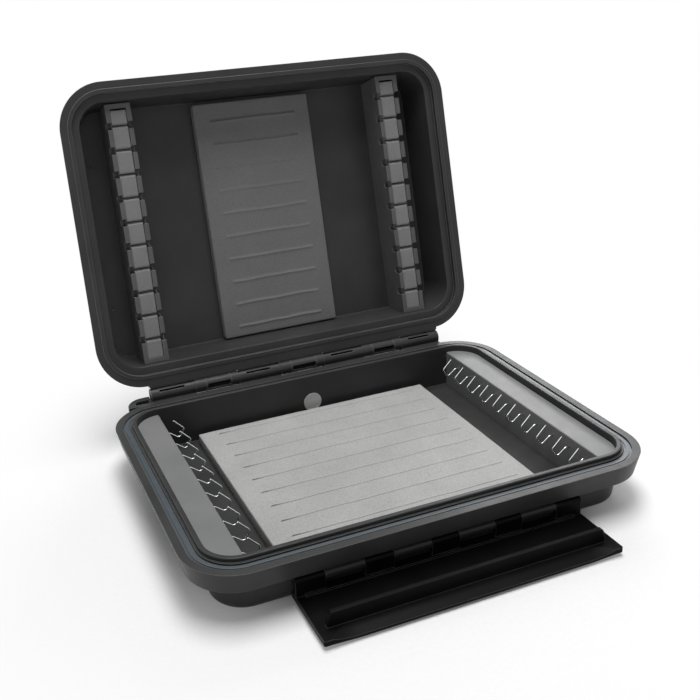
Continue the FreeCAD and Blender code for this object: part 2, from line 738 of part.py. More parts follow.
def make_base_foam():
    body = new_body("base_foam_pad")
    sketch = new_sketch(body, "base_foam_sketch", "XY_Plane", "floor_thickness")
    half = "case_width / 2 - base_foam_side_gap"
    rounded_outline(sketch, half, "case_depth / 2 - wall_inset - base_foam_end_gap", "base_foam_corner")
    pad(body, sketch, "base_foam", "base_foam_height")
    cut_slits(body, "base", f"( {half} - base_slit_end_gap )", "floor_thickness + base_foam_height",
              reverse=False)
    return body


def make_vent_disc():
    body = new_body("vent_disc")
    back = "case_depth / 2 - wall_inset + vent_sink"
    sketch = new_sketch(body, "vent_disc_sketch", "XZ_Plane", minus(back))
    circle(sketch, "vent_place", "vent_height", "vent_radius")
    pad(body, sketch, "vent_plate", "vent_thickness")
    dish = new_sketch(body, "vent_dish_sketch", "XZ_Plane", minus(f"{back} - vent_thickness"))
    circle(dish, "vent_place", "vent_height", "vent_radius - vent_rim_width")
    pocket(body, dish, "vent_dish", "vent_dish")
    return body


def make_rod(name, across, up, radius, start, length):
    """Plain steel pin along X."""
    body = new_body(name)
    sketch = new_sketch(body, f"{name}_sketch", "YZ_Plane", start)
    circle(sketch, across, up, radius)
    pad(body, sketch, f"{name}_rod", length)
    return body


# Strap loop at the left rear corner
def make_strap_loop():
    body = new_body("strap_loop")
    top = "rim_height - loop_top_drop"
    wall = "case_depth / 2"
    left, right = "( loop_side_gap - case_width / 2 )", f"( {KNUCKLE_ROW_START} - loop_hinge_gap )"
    slot_left, slot_right = f"( {left} + loop_outer_wall )", f"( {right} - loop_inner_wall )"
    upright = value("loop_height") / 2

    def left_rear_edge(side, back):
        """Test for the upright edge at the left rear of an outline."""
        def wanted(edge):
            box = edge.BoundBox
            return (box.ZLength > upright and abs(box.XMax - value(side)) < value("tolerance")
                    and abs(box.YMin - value(back)) < value("tolerance"))
        return wanted

    sketch = new_sketch(body, "strap_loop_sketch", "XY_Plane", top)
    box_outline(sketch, left, right, f"{wall} + fit_gap", f"{wall} + loop_reach")
    pad(body, sketch, "strap_loop_block", "loop_height", reverse=True)
    fillet(body, "strap_loop_corner", "loop_corner", left_rear_edge(left, f"{wall} + loop_reach"))
    slot = new_sketch(body, "strap_slot_sketch", "XY_Plane", top)
    slot_back = f"{wall} + loop_slot_start + loop_slot_width"
    box_outline(slot, slot_left, slot_right, f"{wall} + loop_slot_start", slot_back)
    pocket(body, slot, "strap_slot", "loop_height")
    fillet(body, "strap_slot_corner", "loop_slot_corner", left_rear_edge(slot_left, slot_back))
    return body


# Lid shell, closed position
def make_lid_shell():
    body = new_body("lid_shell")
    skirt_top = f"{LID_RIM_Z} + skirt_height"
    rim = new_sketch(body, "lid_rim_sketch", "XY_Plane", LID_RIM_Z)
    case_outline(rim, "0")
    pad(body, rim, "lid_skirt", "skirt_height", taper=minus(draft("skirt_inset", "skirt_height")))
    fillet(body, "lid_skirt_edge", "skirt_edge_radius", level_edges(skirt_top, "skirt_inset"))

    cover = new_sketch(body, "lid_body_sketch", "XY_Plane", skirt_top)
    case_outline(cover, "lid_body_inset")
    pad(body, cover, "lid_body", f"{LID_TOP_Z} - ( {skirt_top} )",
        taper=minus(draft("lid_body_draft", f"{LID_TOP_Z} - ( {skirt_top} )")))
    fillet(body, "lid_top_edge", "lid_edge_radius", level_edges(LID_TOP_Z, "lid_body_inset + lid_body_draft"))

    tongue = new_sketch(body, "lid_tongue_sketch", "XY_Plane", LID_RIM_Z)
    case_outline(tongue, "tongue_inset")
    case_outline(tongue, "tongue_inset + tongue_width")
    pad(body, tongue, "lid_tongue", "tongue_rise", reverse=True)

    recess = new_sketch(body, "lid_recess_sketch", "XY_Plane", LID_RIM_Z)
    case_outline(recess, "tongue_inset + tongue_width")
    pocket(body, recess, "lid_recess", "lid_recess_depth", reverse=True)

    room = new_sketch(body, "lid_room_sketch", "XY_Plane", f"{LID_RIM_Z} + lid_recess_depth")
    case_outline(room, "lid_wall_inset")
    deep = f"{CEILING_Z} - {LID_RIM_Z} - lid_recess_depth"
    pocket(body, room, "lid_room", deep, reverse=True, taper=minus(draft("lid_wall_draft", deep)))
    fillet(body, "lid_recess_edge", "lid_recess_edge_radius",
           level_edges(f"{LID_RIM_Z} + lid_recess_depth", "lid_wall_inset"))

    hollow = new_sketch(body, "lid_over_flange_sketch", "XY_Plane", skirt_top)
    case_outline(hollow, "skirt_inner_inset")
    case_outline(hollow, "lid_body_inset")
    pocket(body, hollow, "lid_over_flange", "skirt_height - catch_height")

    catch = new_sketch(body, "lid_catch_sketch", "XY_Plane", skirt_top)
    half = f"( {FLAP_HALF} - catch_end_gap )"
    box_outline(catch, minus(half), half, minus("case_depth / 2 + overrun"),
                minus("case_depth / 2 - skirt_inner_inset - overrun"))
    pocket(body, catch, "lid_catch", "skirt_height - catch_height")
    catch_z, close, long = value(f"{LID_RIM_Z} + catch_height"), value("tolerance"), value(half)
    rim_front = value("skirt_inset - case_depth / 2")
    fillet(body, "lid_catch_edge", "catch_edge_radius",
           lambda edge: abs(edge.BoundBox.ZMin - catch_z) < close and abs(edge.BoundBox.ZMax - catch_z) < close
           and edge.BoundBox.YMax < rim_front and edge.BoundBox.XLength > long)

    add_hinge_land(body, "hinge_strip", "hinge_strip_reach", LID_RIM_Z, "hinge_strip_height")
    for index in (1, 3, 5):
        add_knuckle(body, index, upper=True)
        start = knuckle_start(index)
        span = knuckle_length(index)
        add_ring(body, f"ring_{index}_a", f"{start} + {span} * lid_window_start_share - ring_width")
        add_ring(body, f"ring_{index}_b", f"{start} + {span} * lid_window_end_share")
    bore(body, "lid_hinge_bore", HINGE_Y, HINGE_Z, "hinge_pin_radius + pin_clearance",
         f"{KNUCKLE_ROW_START} - overrun", f"{KNUCKLE_ROW_LENGTH} + 2 * overrun")
    for index in (1, 3, 5):
        knuckle_window(body, index, "lid_window_start_share", "lid_window_end_share", "lid_window_width",
                       "( 180 + lid_window_angle )", f"lid_window_{index + 1}")

    marks = new_sketch(body, "ejector_mark_sketch", "XY_Plane", CEILING_Z)
    side, row_place = "( case_width / 2 - mark_side_gap )", "( case_depth * mark_row_share )"
    for across in (side, minus(side)):
        for along in (row_place, minus(row_place)):
            circle(marks, across, along, "mark_radius")
    pocket(body, marks, "ejector_marks", "mark_depth", reverse=True)
    return body


# Lid foam, rails and inserts
def make_lid_foam():
    body = new_body("lid_foam_pad")
    face = f"{CEILING_Z} - lid_foam_height"
    sketch = new_sketch(body, "lid_foam_sketch", "XY_Plane", face)
    half = "( case_width / 2 - lid_foam_side_gap )"
    end = "( case_depth / 2 - lid_wall_inset - lid_wall_draft )"
    box_outline(sketch, minus(half), half, minus(f"{end} - lid_foam_front_gap"), f"{end} - lid_foam_back_gap")
    pad(body, sketch, "lid_foam", "lid_foam_height")
    upright = value("lid_foam_height") / 2
    fillet(body, "lid_foam_corners", "lid_foam_corner", lambda edge: edge.BoundBox.ZLength > upright)
    cut_slits(body, "lid", f"( {half} - lid_slit_end_gap )", face, reverse=True)
    return body


def rail_ends(side, near, far):
    """Left and right expressions of a span across one rail."""
    return (near, far) if side > 0 else (minus(far), minus(near))


def make_rail(name, side):
    body = new_body(f"{name}_rig_rail")
    top, outer = RAIL_TOP_Z, RAIL_OUTER
    front, back = RAIL_FRONT, RAIL_BACK
    foot = "( case_depth / 2 - lid_wall_inset - lid_wall_draft - rail_end_gap )"
    sketch = new_sketch(body, f"{name}_rail_sketch", "YZ_Plane", rail_ends(side, RAIL_INNER, outer)[0])
    polygon(sketch, [(front, top), (back, top), (foot, CEILING_Z), (minus(foot), CEILING_Z)])
    pad(body, sketch, f"{name}_rail_block", "rail_width")
    channel = new_sketch(body, f"{name}_channel_sketch", "XY_Plane", top)
    box_outline(channel, *rail_ends(side, f"{RAIL_INNER} + rail_wall", f"{outer} - rail_wall"),
                f"{front} + rail_wall", f"{back} - rail_wall")
    pocket(body, channel, f"{name}_channel", f"{CEILING_Z} - ( {top} ) - rail_floor", reverse=True)
    notches = new_sketch(body, f"{name}_notch_sketch", "YZ_Plane",
                         f"{RAIL_INNER} - overrun" if side > 0 else minus(f"{outer} + overrun"))
    for index in range(HOOKS_PER_SIDE):
        notch_outline(notches, hook_place(index), top)
    pocket(body, notches, f"{name}_notches", "rail_width + 2 * overrun", reverse=True)
    return body


def notch_outline(sketch, place, top):
    """Notch with a round bottom, open at the rail's edge."""
    half = "notch_width / 2"
    floor = f"{top} + notch_depth - notch_width / 2"
    left, right = value(f"{place} - {half}"), value(f"{place} + {half}")
    low, high = value(f"{top} - overrun"), value(floor)
    first = sketch.GeometryCount
    points = [(left, high), (left, low), (right, low), (right, high)]
    for start, end in zip(points, points[1:]):
        sketch.addGeometry(Part.LineSegment(FreeCAD.Vector(*start, 0), FreeCAD.Vector(*end, 0)))
    centre = FreeCAD.Vector((left + right) / 2, high, 0)
    round_end = Part.Circle(centre, FreeCAD.Vector(0, 0, 1), (right - left) / 2)
    sketch.addGeometry(Part.ArcOfCircle(round_end, 0, math.pi))
    for index in range(2):
        sketch.addConstraint(Sketcher.Constraint("Coincident", first + index, 2, first + index + 1, 1))
    sketch.addConstraint(Sketcher.Constraint("Tangent", first + 2, 2, first + 3, 1))
    sketch.addConstraint(Sketcher.Constraint("Tangent", first + 3, 2, first, 1))
    pin_point(sketch, first, 2, f"{place} - {half}", f"{top} - overrun")
    pin_point(sketch, first + 1, 2, f"{place} + {half}", f"{top} - overrun")
    bind(sketch, Sketcher.Constraint("DistanceY", -1, 1, first, 1, high), floor)
    sketch.addConstraint(Sketcher.Constraint("Vertical", first))


def make_rail_insert(name, side):
    body = new_body(f"{name}_rail_insert")
    top = f"{RAIL_TOP_Z} + fit_gap"
    front, back = f"{RAIL_FRONT} + rail_wall + insert_front_gap", f"{RAIL_BACK} - rail_wall - fit_gap"
    near, far = f"{RAIL_INNER} + rail_wall", f"{RAIL_OUTER} - rail_wall"
    sketch = new_sketch(body, f"{name}_insert_sketch", "XY_Plane", top)
    box_outline(sketch, *rail_ends(side, f"{near} + fit_gap", f"{far} - fit_gap"), front, back)
    pad(body, sketch, f"{name}_insert_block", f"{CEILING_Z} - ( {top} ) - rail_floor")
    slits = new_sketch(body, f"{name}_insert_slit_sketch", "XY_Plane", top)
    for index in range(HOOKS_PER_SIDE):
        place = hook_place(index)
        box_outline(slits, *rail_ends(side, near, far),
                    f"{place} - insert_slit_width / 2", f"{place} + insert_slit_width / 2")
    pocket(body, slits, f"{name}_insert_slits", "insert_slit_depth", reverse=True)
    return body


# Latch flap, open position
def make_latch_flap():
    body = new_body("latch_flap")
    plate = new_sketch(body, "flap_plate_sketch", "XY_Plane", FLAP_TOP_Z)
    box_outline(plate, minus(FLAP_HALF), FLAP_HALF, FLAP_EDGE_Y, f"{LATCH_Y} + flap_tail")
    pad(body, plate, "flap_plate", "flap_thickness", reverse=True)
    edge_y, close, upright = value(FLAP_EDGE_Y), value("tolerance"), value("flap_thickness") / 2
    fillet(body, "flap_corners", "flap_corner",
           lambda edge: edge.BoundBox.ZLength > upright and edge.BoundBox.YMax < edge_y + close)

    lip = new_sketch(body, "flap_lip_sketch", "XZ_Plane", minus(FLAP_EDGE_Y))
    shoulder, flat = SCOOP_HALF, f"{SCOOP_HALF} - {SCOOP_END}"
    foot, root = f"{FLAP_TOP_Z} - lip_depth", f"{FLAP_TOP_Z} - flap_thickness + overlap"
    bend = f"{FLAP_TOP_Z} - flap_thickness"
    polygon(lip, [(minus(flat), foot), (flat, foot), (shoulder, bend), (shoulder, root),
                  (minus(shoulder), root), (minus(shoulder), bend)])
    pad(body, lip, "flap_lip", "flap_reach - lip_start", reverse=True)

    ridge = new_sketch(body, "flap_ridge_sketch", "XY_Plane", FLAP_TOP_Z)
    box_outline(ridge, minus(RIB_HALF), RIB_HALF, f"{LATCH_Y} - ridge_width", LATCH_Y)
    pad(body, ridge, "flap_ridge", "ridge_rise")

    rib = new_sketch(body, "flap_rib_sketch", "XZ_Plane", minus(f"{LATCH_Y} - rib_start"))
    rib_foot = f"{FLAP_TOP_Z} - overrun"
    crest = f"{FLAP_TOP_Z} + rib_rise"
    narrow = f"{RIB_HALF} - rib_end_slope"
    polygon(rib, [(minus(RIB_HALF), rib_foot), (RIB_HALF, rib_foot), (narrow, crest), (minus(narrow), crest)])
    pad(body, rib, "flap_rib", "rib_thickness")
    crest_z, long = value(crest), value(RIB_HALF)
    fillet(body, "flap_rib_ends", "rib_end_radius",
           lambda edge: edge.BoundBox.ZMin > crest_z - close and edge.BoundBox.XLength < close)
    fillet(body, "flap_rib_crest", "rib_edge_radius",
           lambda edge: edge.BoundBox.ZMin > crest_z - close and edge.BoundBox.XLength > long)

    for index in range(BASE_LUGS + 1):
        add_flap_knuckle(body, index)
    bore(body, "flap_bore", LATCH_Y, LATCH_Z, "latch_pin_radius + pin_clearance",
         f"0 - {FLAP_HALF} - overrun", f"2 * ( {FLAP_HALF} + overrun )")

    # the finger scoop deepens from the rib to the free edge and fades out at both ends
    scoop = new_sketch(body, "flap_scoop_sketch", "XZ_Plane", minus(FLAP_EDGE_Y))
    scoop_outline(scoop)
    run = "( flap_reach - rib_start - rib_thickness )"
    pocket(body, scoop, "flap_scoop", run, taper=minus(draft("scoop_drop", run)))
    return body


def scoop_outline(sketch):
    """Shallow trough with round ends, open at the top."""
    side, flat = SCOOP_HALF, f"( {SCOOP_HALF} - {SCOOP_END} )"
    top, face, floor = f"{FLAP_TOP_Z} + 2 * scoop_drop", FLAP_TOP_Z, f"{FLAP_TOP_Z} - scoop_drop"
    corners = [(minus(flat), floor), (flat, floor), (side, face), (side, top), (minus(side), top),
               (minus(side), face)]
    places = [FreeCAD.Vector(value(across), value(up), 0) for across, up in corners]
    radius = value("scoop_end_radius")
    first = sketch.GeometryCount
    for index, start in enumerate(places):
        end = places[(index + 1) % len(places)]
        if index in (1, 5):
            # the centre stands straight above the end of the trough's floor
            foot = start if index == 1 else end
            centre = foot + FreeCAD.Vector(0, radius, 0)
            middle = (start + end) / 2 - centre
            middle = centre + middle * (radius / middle.Length)
            sketch.addGeometry(Part.Arc(start, middle, end))
        else:
            sketch.addGeometry(Part.LineSegment(start, end))
    # each arc runs anticlockwise, as the outline does, so its first point is where the edge before it ends
    for index in range(len(corners)):
        after = first + (index + 1) % len(corners)
        sketch.addConstraint(Sketcher.Constraint("Coincident", first + index, 2, after, 1))
        pin_point(sketch, first + index, 1, *corners[index])
    for index in (1, 5):
        bind(sketch, Sketcher.Constraint("Radius", first + index, radius), "scoop_end_radius")


def add_flap_knuckle(body, index):
    """Flap knuckle between two base lugs, with the web that carries it on the plate."""
    name = f"flap_knuckle_{index + 1}"
    start = f"{index} * ( {FLAP_KNUCKLE_LENGTH} + base_lug_length ) - {FLAP_HALF} + latch_gap / 2"
    length = f"{FLAP_KNUCKLE_LENGTH} - latch_gap"
    barrel = new_sketch(body, f"{name}_barrel_sketch", "YZ_Plane", start)
    circle(barrel, LATCH_Y, LATCH_Z, "latch_knuckle_radius")
    pad(body, barrel, f"{name}_barrel", length)
    web = new_sketch(body, f"{name}_web_sketch", "YZ_Plane", start)
    box_outline(web, f"{LATCH_Y} - latch_knuckle_radius", LATCH_Y, f"{FLAP_TOP_Z} - overrun", LATCH_Z)
    pad(body, web, f"{name}_web", length)


# Assembly
nodes = [make_base_shell(), make_rim_seal(), make_base_foam(), make_vent_disc(), make_strap_loop()]
nodes.append(make_rod("hinge_pin", HINGE_Y, HINGE_Z, "hinge_pin_radius",
                      f"{KNUCKLE_ROW_START} + pin_end_recess", f"{KNUCKLE_ROW_LENGTH} - 2 * pin_end_recess"))
nodes.append(make_rod("latch_pin", LATCH_Y, LATCH_Z, "latch_pin_radius",
                      f"pin_end_recess - {FLAP_HALF}", f"2 * ( {FLAP_HALF} - pin_end_recess )"))
for side_name, side in HOOK_SIDES.items():
    nodes.append(make_housing(side_name, side))
    for hook in range(HOOKS_PER_SIDE):
        nodes.append(make_hook(side_name, side, hook))
        nodes.append(make_spring(side_name, side, hook))

lid_nodes = [make_lid_shell(), make_lid_foam()]
for side_name, side in HOOK_SIDES.items():
    lid_nodes.append(make_rail(side_name, side))
    lid_nodes.append(make_rail_insert(side_name, side))
hinge_centre = FreeCAD.Vector(0, value(HINGE_Y), value(HINGE_Z))
open_turn = FreeCAD.Rotation(FreeCAD.Vector(1, 0, 0), -value("lid_open_angle"))
for node in lid_nodes:
    node.Placement = FreeCAD.Placement(FreeCAD.Vector(0, 0, 0), open_turn, hinge_centre)
nodes += lid_nodes
nodes.append(make_latch_flap())
doc.recompute()

# Check and write
for item in doc.Objects:
    if any(word in item.State for word in ("Invalid", "Error")):
        raise ValueError(f"{item.Name} failed: {item.State}")
for node in nodes:
    if node.Shape.isNull() or not node.Shape.isValid():
        raise ValueError(f"{node.Label} has no valid shape")
    if len(node.Shape.Solids) != 1:
        raise ValueError(f"{node.Label} has {len(node.Shape.Solids)} solids")
os.makedirs("parts", exist_ok=True)
for node in nodes:
    node.Shape.exportStep(f"parts/{node.Label}.step")
print(f"{len(nodes)} nodes written")
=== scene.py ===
import math
import bmesh
import bpy
from mathutils import Matrix, Vector, noise


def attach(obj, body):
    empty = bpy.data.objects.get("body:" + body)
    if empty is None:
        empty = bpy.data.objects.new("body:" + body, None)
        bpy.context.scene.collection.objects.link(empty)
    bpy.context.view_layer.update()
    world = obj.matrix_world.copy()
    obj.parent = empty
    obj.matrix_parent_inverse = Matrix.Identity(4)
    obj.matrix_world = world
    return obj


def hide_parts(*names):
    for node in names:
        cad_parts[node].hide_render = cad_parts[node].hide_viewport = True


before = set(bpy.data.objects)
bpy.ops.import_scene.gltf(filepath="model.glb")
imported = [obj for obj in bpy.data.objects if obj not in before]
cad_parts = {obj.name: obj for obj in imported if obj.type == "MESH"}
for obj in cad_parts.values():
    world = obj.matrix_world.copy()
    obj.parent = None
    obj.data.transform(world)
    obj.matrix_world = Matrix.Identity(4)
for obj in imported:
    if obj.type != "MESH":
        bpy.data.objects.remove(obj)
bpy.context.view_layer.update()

# Fly box. Metres, +Z up, +X right, the latch faces -Y and the hinge +Y. The lid is built shut and turned
# back about the hinge axis, as its CAD nodes are.
MM = 0.001
HINGE = Vector((0, 116.6, 35.75)) * MM
LID_TURN = math.radians(-104)
OPEN_LID = Matrix.Translation(HINGE) @ Matrix.Rotation(LID_TURN, 4, "X") @ Matrix.Translation(-HINGE)


# Colour and nodes
def paint(code):
    """Linear colour of an sRGB hex value."""
    shares = [int(code[place:place + 2], 16) / 255 for place in (1, 3, 5)]
    return tuple(s / 12.92 if s <= 0.04045 else ((s + 0.055) / 1.055) ** 2.4 for s in shares) + (1.0,)


def add(tree, kind, inputs=None, stops=(), **settings):
    """Add a node, set its properties and its ramp's stops, and set or link its inputs by name or place."""
    made = tree.nodes.new(kind)
    for index, (place, colour) in enumerate(stops):
        made.color_ramp.elements[index].position = place
        made.color_ramp.elements[index].color = colour
    for name, setting in settings.items():
        setattr(made, name, setting)
    for name, given in (inputs or {}).items():
        if isinstance(given, bpy.types.NodeSocket):
            tree.links.new(given, made.inputs[name])
        else:
            made.inputs[name].default_value = given
    return made


def per_mm(size):
    """Texture scale at which one cell is this many millimetres across."""
    return 1 / (size * MM)


def new_material(name):
    """Empty material and its node tree, with the output node kept."""
    made = bpy.data.materials.new(name)
    made.use_nodes = True
    tree = made.node_tree
    for old in list(tree.nodes):
        if old.type != "OUTPUT_MATERIAL":
            tree.nodes.remove(old)
    return made, tree


def finish_surface(tree, shader, bump=None):
    """Link the shader to the output, with its bump if it has one."""
    if bump is not None:
        tree.links.new(bump.outputs["Normal"], shader.inputs["Normal"])
    out = next(item for item in tree.nodes if item.type == "OUTPUT_MATERIAL")
    tree.links.new(shader.outputs[0], out.inputs["Surface"])


def moulded_plastic(name, dark, light, rough_low, rough_high, specular, painted_edge_highlight):
    """Injection-moulded plastic: a fine spark-eroded grain breaks up its gloss, and broad flow marks shift
    its colour a little. Its corners are rounded by the mould, so they catch the light, and a lighter colour
    is painted along them as a painted highlight. The real grain is about 0.05 mm and is drawn coarser so that
    it shows."""
    material, tree = new_material(name)
    place = add(tree, "ShaderNodeTexCoord").outputs["Object"]
    fine = add(tree, "ShaderNodeTexNoise", {"Vector": place, "Scale": per_mm(0.35), "Detail": 3.0,
                                            "Roughness": 0.6})
    broad = add(tree, "ShaderNodeTexNoise", {"Vector": place, "Scale": per_mm(38), "Detail": 3.0})
    body = add(tree, "ShaderNodeValToRGB", {"Fac": broad.outputs["Fac"]},
               stops=[(0.3, paint(dark)), (0.7, paint(light))])
    rounded = add(tree, "ShaderNodeBevel", {"Radius": 0.55 * MM}, samples=6)
    flat = add(tree, "ShaderNodeNewGeometry")
    along = add(tree, "ShaderNodeVectorMath", {0: rounded.outputs["Normal"], 1: flat.outputs["Normal"]},
                operation="DOT_PRODUCT")
    edge = add(tree, "ShaderNodeMapRange", {"Value": along.outputs["Value"], "From Min": 0.99,
                                            "From Max": 0.85})
    # painted highlight: the lighter edge colour is mixed in along the rounded corners, where the rounded
    # normal turns away from the flat one
    colour = add(tree, "ShaderNodeMix", {"Factor": edge.outputs["Result"], "A": body.outputs["Color"],
                                         "B": paint(painted_edge_highlight)}, data_type="RGBA")
    gloss = add(tree, "ShaderNodeTexNoise", {"Vector": place, "Scale": per_mm(9), "Detail": 4.0})
    rough = add(tree, "ShaderNodeMapRange", {"Value": gloss.outputs["Fac"], "From Min": 0.3, "From Max": 0.7,
                                             "To Min": rough_low, "To Max": rough_high})
    bump = add(tree, "ShaderNodeBump", {"Height": fine.outputs["Fac"], "Normal": rounded.outputs["Normal"],
                                        "Strength": 0.35, "Distance": 0.012 * MM})
    shader = add(tree, "ShaderNodeBsdfPrincipled", {"Base Color": colour.outputs["Result"],
                                                    "Roughness": rough.outputs["Result"], "IOR": 1.53,
                                                    "Specular IOR Level": specular})
    finish_surface(tree, shader, bump)
    return material


def cell_foam(name, dark, light, cell, depth, pit):
    """Closed-cell foam, cut from a sheet: small open cells speckle the face, and a faint broad mottle from
    the skiving shows on it. The real cells are about 0.2 mm and are drawn coarser so that they show."""
    material, tree = new_material(name)
    place = add(tree, "ShaderNodeTexCoord").outputs["Object"]
    cells = add(tree, "ShaderNodeTexVoronoi", {"Vector": place, "Scale": per_mm(cell)})
    grain = add(tree, "ShaderNodeTexNoise", {"Vector": place, "Scale": per_mm(cell * 1.5), "Detail": 6.0,
                                             "Roughness": 0.75})
    broad = add(tree, "ShaderNodeTexNoise", {"Vector": place, "Scale": per_mm(30), "Detail": 5.0,
                                             "Roughness": 0.6})
    mixed = add(tree, "ShaderNodeMix", {"Factor": 0.25, "A": grain.outputs["Fac"], "B": broad.outputs["Fac"]},
                data_type="FLOAT")
    body = add(tree, "ShaderNodeValToRGB", {"Fac": mixed.outputs["Result"]},
               stops=[(0.36, paint(dark)), (0.64, paint(light))])
    open_cells = add(tree, "ShaderNodeMapRange", {"Value": grain.outputs["Fac"], "From Min": 0.39,
                                                  "From Max": 0.33, "To Max": 0.7})
    colour = add(tree, "ShaderNodeMix", {"Factor": open_cells.outputs["Result"], "A": body.outputs["Color"],
                                         "B": paint(pit)}, data_type="RGBA")
    height = add(tree, "ShaderNodeMath", {0: cells.outputs["Distance"], 1: grain.outputs["Fac"]},
                 operation="ADD")
    bump = add(tree, "ShaderNodeBump", {"Height": height.outputs[0], "Strength": 0.7, "Distance": depth * MM})
    shader = add(tree, "ShaderNodeBsdfPrincipled", {"Base Color": colour.outputs["Result"], "Roughness": 0.85,
                                                    "IOR": 1.49, "Sheen Weight": 0.1, "Sheen Roughness": 0.5})
    finish_surface(tree, shader, bump)
    return material


def drawn_steel(name, dark, light, rough_low, rough_high):
    """Drawn steel wire and rod, with fine die lines along X: the wire is bright stainless, and the rod is
    given a near-black colour as painted shade.
    """
    material, tree = new_material(name)
    place = add(tree, "ShaderNodeTexCoord").outputs["Object"]
    along = add(tree, "ShaderNodeMapping", {"Vector": place, "Scale": (0.05, 1.0, 1.0)})
    lines = add(tree, "ShaderNodeTexNoise", {"Vector": along.outputs["Vector"], "Scale": per_mm(0.25),
                                             "Detail": 2.0})
    colour = add(tree, "ShaderNodeValToRGB", {"Fac": lines.outputs["Fac"]},
                 stops=[(0.3, paint(dark)), (0.7, paint(light))])
    rough = add(tree, "ShaderNodeMapRange", {"Value": lines.outputs["Fac"], "To Min": rough_low,
                                             "To Max": rough_high})
    bump = add(tree, "ShaderNodeBump", {"Height": lines.outputs["Fac"], "Strength": 0.2,
                                        "Distance": 0.01 * MM})
    shader = add(tree, "ShaderNodeBsdfPrincipled", {"Base Color": colour.outputs["Color"], "Metallic": 1.0,
                                                    "Roughness": rough.outputs["Result"]})
    finish_surface(tree, shader, bump)
    return material


def silicone_rubber(name, dark, light):
    """Moulded silicone rubber cord: smooth, slightly waxy, with a soft broad highlight and faint dust."""
    material, tree = new_material(name)
    place = add(tree, "ShaderNodeTexCoord").outputs["Object"]
    dust = add(tree, "ShaderNodeTexNoise", {"Vector": place, "Scale": per_mm(1.5), "Detail": 5.0,
                                            "Roughness": 0.7})
    colour = add(tree, "ShaderNodeValToRGB", {"Fac": dust.outputs["Fac"]},
                 stops=[(0.3, paint(dark)), (0.7, paint(light))])
    rough = add(tree, "ShaderNodeMapRange", {"Value": dust.outputs["Fac"], "To Min": 0.28, "To Max": 0.5})
    bump = add(tree, "ShaderNodeBump", {"Height": dust.outputs["Fac"], "Strength": 0.15,
                                        "Distance": 0.02 * MM})
    shader = add(tree, "ShaderNodeBsdfPrincipled", {"Base Color": colour.outputs["Color"],
                                                    "Roughness": rough.outputs["Result"], "IOR": 1.43})
    finish_surface(tree, shader, bump)
    return material


# Each plastic gives its body's darker and lighter colour, its lowest and highest roughness, its specular
# level and the colour of the painted highlight along its corners. The case looks nearly black inside the lid
# and grey where it faces the light. The flap is the blackest, the housings are the lightest, and the rails
# are between.
case_abs = moulded_plastic("charcoal moulded ABS", "#353635", "#3e3f3e", 0.34, 0.44, 0.17, "#7c7d7d")
flap_abs = moulded_plastic("black moulded ABS", "#080908", "#0d0e0d", 0.36, 0.46, 0.05, "#626362")
tray_abs = moulded_plastic("light grey moulded ABS", "#787979", "#828382", 0.4, 0.5, 0.2, "#969796")
rail_abs = moulded_plastic("mid grey moulded ABS", "#5a5b5b", "#656665", 0.42, 0.52, 0.15, "#8c8d8c")
# Each foam gives its darker and lighter colour, the size of its cells, the depth of its relief and the
# colour of its open cells. The vent is a sintered disc with the same fine pitted look.
vent_plastic = cell_foam("sintered vent plastic", "#c2c3c2", "#dadbd9", 0.9, 0.08, "#979897")
seal_rubber = silicone_rubber("blue grey silicone rubber", "#454c51", "#51585d")
base_foam_skin = cell_foam("light grey cut foam", "#9b9b9a", "#b9b9b8", 0.6, 0.12, "#7c7d7d")
lid_foam_skin = cell_foam("mid grey cut foam", "#6d6e6d", "#7e7f7e", 0.6, 0.1, "#5a5b5a")
insert_foam_skin = cell_foam("grey closed-cell foam", "#7a7b7a", "#898a89", 0.6, 0.1, "#656665")
wire_steel = drawn_steel("bright stainless wire", "#c4c6c8", "#e2e3e4", 0.18, 0.3)
# painted shade: the hinge and latch pins are coloured near black for the shade inside the knuckles around
# them
pin_steel = drawn_steel("dark steel rod with painted shade", "#1d1e1f", "#2a2b2c", 0.36, 0.48)

NODE_FINISH = {"base_shell": case_abs, "lid_shell": case_abs, "strap_loop": case_abs, "latch_flap": flap_abs,
               "left_hook_housing": tray_abs, "right_hook_housing": tray_abs,
               "left_rig_rail": rail_abs, "right_rig_rail": rail_abs,
               "left_rail_insert": insert_foam_skin, "right_rail_insert": insert_foam_skin,
               "base_foam_pad": base_foam_skin, "lid_foam_pad": lid_foam_skin, "vent_disc": vent_plastic,
               "rim_seal": seal_rubber, "hinge_pin": pin_steel, "latch_pin": pin_steel}
for name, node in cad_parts.items():
    node.data.materials.clear()
    node.data.materials.append(NODE_FINISH.get(name, wire_steel))


# Meshes and objects
def mesh_data(name, mesh):
    """Mesh data made from a bmesh, which is freed."""
    data = bpy.data.meshes.new(name)
    mesh.to_mesh(data)
    mesh.free()
    return data


def put(name, data):
    """New object that shows this data, linked to the scene."""
    made = bpy.data.objects.new(name, data)
    bpy.context.scene.collection.objects.link(made)
    return made


def add_sheet(mesh, grid):
    """Join the rows of a grid of points with faces."""
    for low, high in zip(grid, grid[1:]):
        for a, b, c, d in zip(low, low[1:], high[1:], high):
            mesh.faces.new((a, b, c, d))


# Foam pads, in millimetres
PAD_EDGE = 0.9
SLIT_PITCH = 17.5
SLIT_REACH = 2.4
SLIT_END = 1.2
COLUMN_COUNT = 44
# A slit's profile lists the distance from its middle and the height above the face. The first is an open cut
# with lifted lips, the second a cut that has closed, with its lower side a little proud.
OPEN_CUT = [(-SLIT_REACH, 0.0), (-1.1, 0.04), (-0.55, 0.16), (-0.28, 0.12), (-0.22, -1.5), (-0.16, -4.5),
            (0, -4.5), (0.16, -4.5), (0.22, -1.5), (0.28, 0.12), (0.55, 0.16), (1.1, 0.04), (SLIT_REACH, 0.0)]
CLOSED_CUT = [(-SLIT_REACH, 0.0), (-1.2, 0.1), (-0.4, 0.4), (-0.1, 0.44), (0.12, 0.0), (SLIT_REACH, 0.0)]


